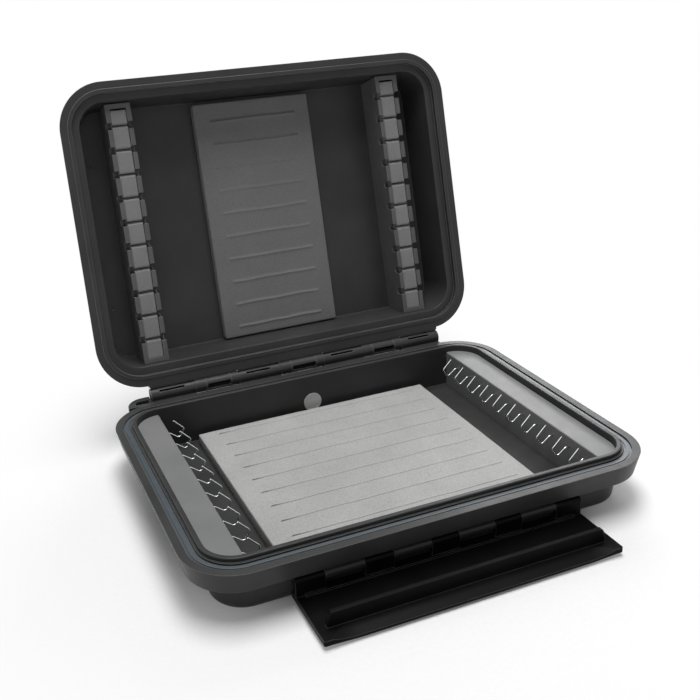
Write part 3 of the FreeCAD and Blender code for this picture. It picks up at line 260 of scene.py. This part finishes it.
def wander(value, seed, size):
    """Smooth small error along a cut, within about its size in millimetres to either side."""
    return noise.noise(Vector((value * 0.05, seed * 7.3, 1.7))) * 2 * size


def in_row(middle, pitch, index):
    """Place of the cut or hook with this number in a row of ten about its middle."""
    return middle + (index - 4.5) * pitch


def pad_mesh(name, half_width, half_depth, height, slits, slit_half, slit_side, profile, gape, crown):
    """Foam sheet as a mesh in millimetres: its back lies at z 0, its face is slightly crowned with soft cut
    edges, and slits of the given profile cross it. A slit gapes at its left end, where the blade went in."""
    side_x, side_y = half_width - PAD_EDGE, half_depth - PAD_EDGE
    # columns are even, with closer ones at the ends of the slits
    columns = [round(-half_width + step / COLUMN_COUNT * 2 * half_width, 3)
               for step in range(COLUMN_COUNT + 1)]
    for end in (slit_side - slit_half, slit_side + slit_half):
        columns = [x for x in columns if abs(x - end) > SLIT_END + 0.2]
        columns += [end + away for away in (-SLIT_END, -0.3, 0, 0.3, SLIT_END)]
    columns = sorted(x for x in columns if abs(x) < half_width - PAD_EDGE * 1.5)
    columns = [-side_x] + columns + [side_x]
    # rows name their slit and the height of its profile, or none between slits
    rows = [(-side_y, None, 0)]
    last = -side_y
    for number, slit in enumerate(slits):
        gap = slit - SLIT_REACH - last
        rows += [(last + gap * step / 4, None, 0) for step in (1, 2, 3)]
        rows += [(slit + away, number, rise) for away, rise in profile]
        last = slit + SLIT_REACH
    rows += [(last + (side_y - last) * step / 4, None, 0) for step in (1, 2, 3, 4)]
    mesh = bmesh.new()
    grid = []
    for y, number, rise in rows:
        line = []
        for x in columns:
            entry = math.exp(-max(0.0, x - slit_side + slit_half) / 14)
            across, along = x / half_width, y / half_depth
            top = height - crown * (across ** 4 + along ** 4) * 0.5
            top += 0.06 * noise.noise(Vector((x * 0.07, y * 0.07, height)))
            shift = 0
            if number is not None:
                # the profile fades out over the last millimetre of the slit
                inside = min(1.0, max(0.0, slit_half - abs(x - slit_side)))
                shift = wander(x, number, 0.35) * inside
                away = y - slits[number]
                shift += away * entry * inside * (gape if abs(away) < 0.3 else 0)
                top += rise * inside
            line.append(mesh.verts.new((x, y + shift, top)))
        grid.append(line)
    add_sheet(mesh, grid)
    border = (grid[0] + [line[-1] for line in grid[1:]] + grid[-1][-2::-1]
              + [line[0] for line in grid[-2:0:-1]])
    # cut edges: a small round, then a side that pulls in a little at mid height, then the glued back; each
    # ring lists its share of the border's width and its depth below the face
    rings = [(0.55, 0.12), (0.85, 0.45), (1.0, 1.0), (0.86, height * 0.5), (0.98, height - 0.2),
             (0.9, height)]
    corner_share = 0.72
    before = border
    for out, down in rings:
        ring = []
        for vert in border:
            x, y, z = vert.co
            side = Vector((0.0, 0.0, 0.0))
            if abs(abs(x) - side_x) < 1e-4:
                side.x = math.copysign(PAD_EDGE * out, x)
            if abs(abs(y) - side_y) < 1e-4:
                side.y = math.copysign(PAD_EDGE * out, y)
            if side.x and side.y:
                side *= corner_share
            level = max(0.0, z - down) if down < height else 0.0
            ring.append(mesh.verts.new((x + side.x, y + side.y, level)))
        for index in range(len(border)):
            after = (index + 1) % len(border)
            mesh.faces.new((before[index], before[after], ring[after], ring[index]))
        before = ring
    mesh.faces.new(list(reversed(before)))
    bmesh.ops.recalc_face_normals(mesh, faces=mesh.faces)
    data = mesh_data(name, mesh)
    for face in data.polygons:
        face.use_smooth = True
    return data


def place_piece(data, name, matrix, finish, body, node):
    """Put a foam piece made in millimetres in its place, on its body, in place of its CAD solid."""
    made = put(name, data)
    data.transform(matrix @ Matrix.Scale(MM, 4))
    data.materials.append(finish)
    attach(made, body)
    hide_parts(node)


# The base's pad lies on its floor. The lid's pad hangs from its ceiling when the lid is shut.
base_slits = [in_row(3.6, SLIT_PITCH, index) for index in range(10)]
base_pad = pad_mesh("base_foam", half_width=90.1, half_depth=89.2, height=7.7, slits=base_slits,
                    slit_half=78.5, slit_side=1.5, profile=OPEN_CUT, gape=1.2, crown=0.25)
floor_place = Matrix.Translation(Vector((0, 0, 3.7)) * MM)
place_piece(base_pad, "base_foam", floor_place, base_foam_skin, "base", "base_foam_pad")

LID_PAD_FRONT, LID_PAD_REAR = -88.5, 90.8
lid_middle = (LID_PAD_REAR + LID_PAD_FRONT) / 2
lid_slits = sorted(-(in_row(3.95, SLIT_PITCH, index) - lid_middle) for index in range(10))
lid_pad = pad_mesh("lid_foam", half_width=46.5, half_depth=89.65, height=7.0, slits=lid_slits,
                   slit_half=35.0, slit_side=0.0, profile=CLOSED_CUT, gape=0, crown=0.2)
ceiling_place = Matrix.Translation(Vector((0, lid_middle, 68.3)) * MM) @ Matrix.Rotation(math.pi, 4, "X")
place_piece(lid_pad, "lid_foam", OPEN_LID @ ceiling_place, lid_foam_skin, "lid",
            "lid_foam_pad")


# Rail inserts, in millimetres. A parting lists the distance from its middle, whether that leans with the
# cut, and the depth below the face.
HOOK_PITCH = 17.16
HOOK_MIDDLE = -0.8
PARTING = [(-1.5, 1, 0.05), (-1.1, 1, 0.3), (-0.35, 1, 2.6), (-0.3, 0, 6.8), (0.3, 0, 6.8), (0.2, 1, 2.6),
           (1.7, 1, 0.35), (2.2, 1, 0.05)]
BLOCK_CROWN = [(0.25, 0.03), (0.5, 0.05), (0.75, 0.03)]
# across the strip: share of its half width and depth of the rounded edge; it sits against one wall of its
# channel and leaves a narrow gap at the other
STRIP_SECTION = [(-1, 0.35), (-0.95, 0.08), (-0.6, 0), (0.5, 0), (0.85, 0.1), (0.93, 0.4)]


def insert_mesh(name, low, high, top, foot, places, half_width):
    """Row of foam blocks in a rail, joined at their back: each is parted from the next by a narrow V that
    turns into a cut, with one steep side and one that slopes. Long edges are rounded, and the blocks crown
    a little."""
    outline = [(low, foot), (low, top + 0.4), (low + 0.4, top)]
    for number, place in enumerate(places):
        lean = wander(place, number, 0.3)
        outline += [(place + away + lean * leans, top + down) for away, leans, down in PARTING]
        for ahead in places[number + 1:number + 2]:
            outline += [(place + (ahead - place) * share, top - rise) for share, rise in BLOCK_CROWN]
    outline += [(high - 0.4, top), (high, top + 0.4), (high, foot)]
    mesh = bmesh.new()
    sides = []
    for share, drop in STRIP_SECTION:
        sides.append([mesh.verts.new((share * half_width, y, z + drop if z <= top + 0.5 else z))
                      for y, z in outline])
    for low_line, high_line in zip(sides, sides[1:]):
        for index in range(len(outline)):
            after = (index + 1) % len(outline)
            mesh.faces.new((low_line[index], low_line[after], high_line[after], high_line[index]))
    for line in (sides[0], list(reversed(sides[-1]))):
        mesh.faces.new(line)
    bmesh.ops.recalc_face_normals(mesh, faces=mesh.faces)
    bmesh.ops.triangulate(mesh, faces=[face for face in mesh.faces if len(face.verts) > 4])
    return mesh_data(name, mesh)


RAIL_MIDDLE = 106.25
hook_places = [in_row(HOOK_MIDDLE, HOOK_PITCH, index) for index in range(10)]
for side_name, side in (("left", -1), ("right", 1)):
    strip = insert_mesh(f"{side_name}_insert", low=-88.9, high=90.8, top=41.2, foot=65.2,
                        places=hook_places, half_width=5.8)
    rail_place = Matrix.Translation(Vector((side * RAIL_MIDDLE, 0, 0)) * MM)
    place_piece(strip, f"{side_name}_insert", OPEN_LID @ rail_place, insert_foam_skin, "lid",
                f"{side_name}_rail_insert")


# Painted shade at the hinge: low strips in the case's plastic beside the knuckles that leave no light between
# them and the rims. They stand for the shade in those gaps and are not part of the case.
def add_shade_strip(name, low, high, matrix, body):
    """Straight strip of painted shade between two corners in millimetres, with a soft edge."""
    mesh = bmesh.new()
    bmesh.ops.create_cube(mesh, size=1.0)
    for vert in mesh.verts:
        vert.co = Vector([low[axis] if vert.co[axis] < 0 else high[axis] for axis in range(3)])
    bmesh.ops.bevel(mesh, geom=mesh.edges[:], offset=0.15, segments=2, affect="EDGES", profile=0.5)
    data = mesh_data(name, mesh)
    data.transform(matrix @ Matrix.Scale(MM, 4))
    made = put(name, data)
    data.materials.append(case_abs)
    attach(made, body)


KNUCKLE_ENDS = [-116.2, -82.8, -49.4, -16.0, 19.6, 53.0, 86.4, 119.8]
SHADE_STRIP_INSET = 0.5
# low and high corners of a shade strip in Y and Z, the lid's as they are when it is shut
BASE_SHADE_STRIP = ((110.5, 30.6), (111.7, 32.6))
LID_SHADE_STRIP = ((109.8, 33.25), (111.2, 35.3))
for index, (start, end) in enumerate(zip(KNUCKLE_ENDS, KNUCKLE_ENDS[1:])):
    low, high = BASE_SHADE_STRIP if index % 2 else LID_SHADE_STRIP
    matrix, body = (Matrix.Identity(4), "base") if index % 2 else (OPEN_LID, "lid")
    add_shade_strip(f"hinge_gap_shade_strip_{index + 1}", (start + SHADE_STRIP_INSET, *low), (end - SHADE_STRIP_INSET, *high), matrix, body)


# Floor, lights and camera
def white_when_seen(tree):
    """Share that is 1 for rays from the camera, a gloss or a clear body, and 0 for the light that lands."""
    path = add(tree, "ShaderNodeLightPath")
    seen = add(tree, "ShaderNodeMath", {0: path.outputs["Is Camera Ray"], 1: path.outputs["Is Glossy Ray"]},
               operation="MAXIMUM")
    return add(tree, "ShaderNodeMath", {0: seen.outputs[0], 1: path.outputs["Is Transmission Ray"]},
               operation="MAXIMUM").outputs[0]


def make_floor():
    """Flat sheet of pale paper. Near the object it holds the shadow, and further out it turns plain white."""
    mesh = bmesh.new()
    reach, count = 3.0, 12
    grid = [[mesh.verts.new((reach * (2 * column / count - 1), reach * (2 * row / count - 1), 0.0))
             for column in range(count + 1)] for row in range(count + 1)]
    add_sheet(mesh, grid)
    data = mesh_data("floor", mesh)
    made = put("floor", data)
    material, tree = new_material("white paper sheet")
    place = add(tree, "ShaderNodeTexCoord").outputs["Object"]
    fibre = add(tree, "ShaderNodeTexNoise", {"Vector": place, "Scale": per_mm(2.5), "Detail": 4.0})
    colour = add(tree, "ShaderNodeValToRGB", {"Fac": fibre.outputs["Fac"]},
                 stops=[(0.3, paint("#f6f6f6")), (0.7, paint("#fafafa"))])
    paper = add(tree, "ShaderNodeBsdfDiffuse", {"Color": colour.outputs["Color"]})
    away = add(tree, "ShaderNodeVectorMath", {0: place}, operation="LENGTH")
    far = add(tree, "ShaderNodeMapRange", {"Value": away.outputs["Value"], "From Min": 0.13, "From Max": 0.3})
    share = add(tree, "ShaderNodeMath", {0: far.outputs["Result"], 1: white_when_seen(tree)},
                operation="MULTIPLY")
    plain = add(tree, "ShaderNodeEmission", {"Color": (1, 1, 1, 1), "Strength": 1.0})
    both = add(tree, "ShaderNodeMixShader", {0: share.outputs[0], 1: paper.outputs[0], 2: plain.outputs[0]})
    finish_surface(tree, both)
    data.materials.append(material)


def add_lamp(name, place, target, width, height, power):
    """Soft box that faces a target."""
    lamp = bpy.data.lights.new(name, "AREA")
    lamp.shape = "RECTANGLE"
    lamp.size = width
    lamp.size_y = height
    lamp.energy = power
    made = put(name, lamp)
    made.location = place
    made.rotation_euler = (Vector(target) - Vector(place)).to_track_quat("-Z", "Y").to_euler()
    made.visible_camera = False


make_floor()
add_lamp("top_soft_box", (0.05, 0.1, 1.5), (0, 0, 0), width=0.6, height=1.1, power=22)
add_lamp("rear_soft_box", (0.8, 1.2, 0.8), (0.05, 0, 0.03), width=0.9, height=0.7, power=11)
add_lamp("left_soft_box", (-1.4, -0.5, 0.35), (0, 0, 0.05), width=0.8, height=0.4, power=1)
add_lamp("front_soft_box", (-0.5, -0.9, 0.6), (-0.05, -0.05, 0), width=0.6, height=0.4, power=1)

world = bpy.data.worlds.new("studio")
world.use_nodes = True
bpy.context.scene.world = world
air = world.node_tree
strength = add(air, "ShaderNodeMapRange", {"Value": white_when_seen(air), "To Min": 0.04, "To Max": 1.0})
sky = next(item for item in air.nodes if item.type == "BACKGROUND")
sky.inputs["Color"].default_value = (1, 1, 1, 1)
air.links.new(strength.outputs["Result"], sky.inputs["Strength"])

# Camera fitted to the photo. Its focal length and the point on its axis are in pixels of the photo. Its stand
# is in millimetres back, right and up from a point over the middle of the base.
PHOTO_SIDE = 700
FOCAL_LENGTH = 961.93
AXIS_RIGHT, AXIS_DOWN = 292.88, 290.67
STAND_BACK, STAND_RIGHT, STAND_UP = 634.91, -48.03, 94.04
POINT_OVER_BASE = Vector((0, 0, 33))
AZIMUTH, ELEVATION, ROLL = (math.radians(turn) for turn in (-20.97, 19.84, -2.89))
back = Vector((math.sin(AZIMUTH) * math.cos(ELEVATION), -math.cos(AZIMUTH) * math.cos(ELEVATION),
               math.sin(ELEVATION)))
level = Vector((math.cos(AZIMUTH), math.sin(AZIMUTH), 0))
upward = back.cross(level)
across = level * math.cos(ROLL) + upward * math.sin(ROLL)
upright = upward * math.cos(ROLL) - level * math.sin(ROLL)
camera_data = bpy.data.cameras.new("camera")
camera_data.lens = FOCAL_LENGTH / PHOTO_SIDE * camera_data.sensor_width
camera_data.shift_x = (PHOTO_SIDE / 2 - AXIS_RIGHT) / PHOTO_SIDE
camera_data.shift_y = (AXIS_DOWN - PHOTO_SIDE / 2) / PHOTO_SIDE
camera_data.clip_end = 20
camera = put("camera", camera_data)
stand = (back * STAND_BACK + across * STAND_RIGHT + upright * STAND_UP + POINT_OVER_BASE) * MM
turned = Matrix((across, upright, back)).transposed().to_4x4()
camera.matrix_world = Matrix.Translation(stand) @ turned
bpy.context.scene.camera = camera
bpy.context.scene.view_settings.view_transform = "Standard"
